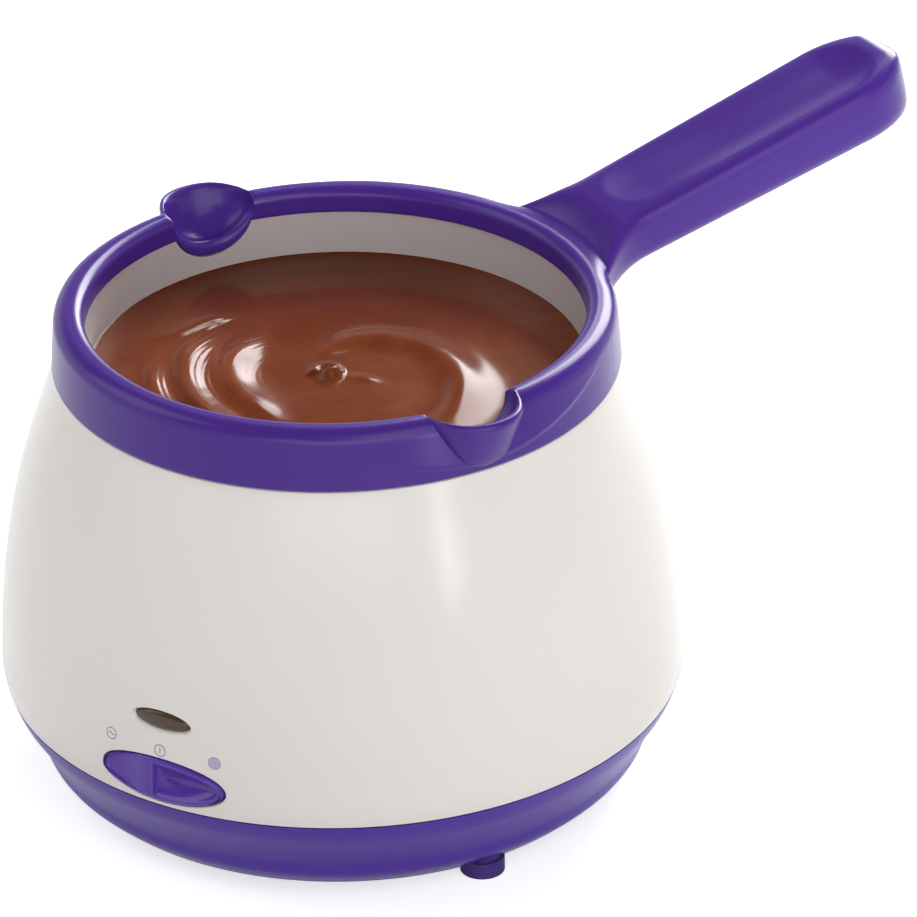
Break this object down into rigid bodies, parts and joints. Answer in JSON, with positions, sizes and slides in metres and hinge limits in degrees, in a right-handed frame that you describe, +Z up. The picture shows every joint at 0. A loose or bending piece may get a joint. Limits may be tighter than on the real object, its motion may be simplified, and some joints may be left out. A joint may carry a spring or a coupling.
{
  "type": "electric chocolate melting pot",
  "caption": "Round table-top warmer with a lift-out melting pot, pouring spouts in its collar, a side handle, a rocking selector and an indicator lens.",
  "frame": {"origin": "on the surface it stands on, on the round body's axis", "axes": "+Z up along the body's axis, -Y towards the selector switch, +Y towards the cord inlet, the handle points up and out between +X and +Y"},
  "size_m": [0.1675, 0.2267, 0.1488],
  "materials": {
    "ivory_plastic": "warm ivory glossy moulded plastic",
    "purple_plastic": "deep purple satin-gloss moulded plastic",
    "foot_rubber": "soft dark rubber",
    "steel_fastener": "zinc plated steel",
    "well_aluminium": "spun bright aluminium",
    "seal_rubber": "pale silicone rubber",
    "bush_plastic": "heat resistant pale plastic",
    "heater_sheet": "foil faced heating element",
    "insulation_felt": "white mineral felt",
    "steel_sheet": "plain steel sheet",
    "dark_moulding": "dark phenolic moulding",
    "fuse_metal": "plated metal case",
    "lens_plastic": "dark red-brown glossy lens",
    "lamp_glass": "small amber lamp",
    "wire_sleeve": "insulated lead",
    "pot_steel": "smooth grey-beige coated cup",
    "melted_chocolate": "wet glossy melted milk chocolate"
  },
  "bodies": {
    "base": {"housing_shell": "ivory_plastic", "base_pan": "purple_plastic", "foot_pads": "foot_rubber", "housing_screws": "steel_fastener", "cord_gland": "foot_rubber", "heat_well": "well_aluminium", "well_seal": "seal_rubber", "well_bushes": "bush_plastic", "heating_disc": "heater_sheet", "insulation_pad": "insulation_felt", "clamp_plate": "steel_sheet", "clamp_nut": "steel_fastener", "thermostat": "dark_moulding", "thermal_fuse": "fuse_metal", "fuse_clip": "steel_sheet", "switch_body": "dark_moulding", "switch_bracket": "steel_sheet", "bracket_screws": "steel_fastener", "selector_pin": "steel_fastener", "indicator_lens": "lens_plastic", "lamp_holder": "bush_plastic", "indicator_lamp": "lamp_glass", "terminal_block": "bush_plastic", "wire_loom": "wire_sleeve"},
    "pot": {"pot_cup": "pot_steel", "pot_collar": "purple_plastic", "chocolate": "melted_chocolate"},
    "selector": {"selector_cap": "purple_plastic"}
  },
  "joints": [
    {"name": "pot_lift", "type": "slide", "parent": "base", "child": "pot", "axis": [0, 0, 1], "range_m": [0, 0.1]},
    {"name": "selector_rock", "type": "hinge", "parent": "base", "child": "selector", "pos_m": [0, -0.07772, 0.0338], "axis": [0, 0, 1], "range_deg": [-8, 8]}
  ]
}
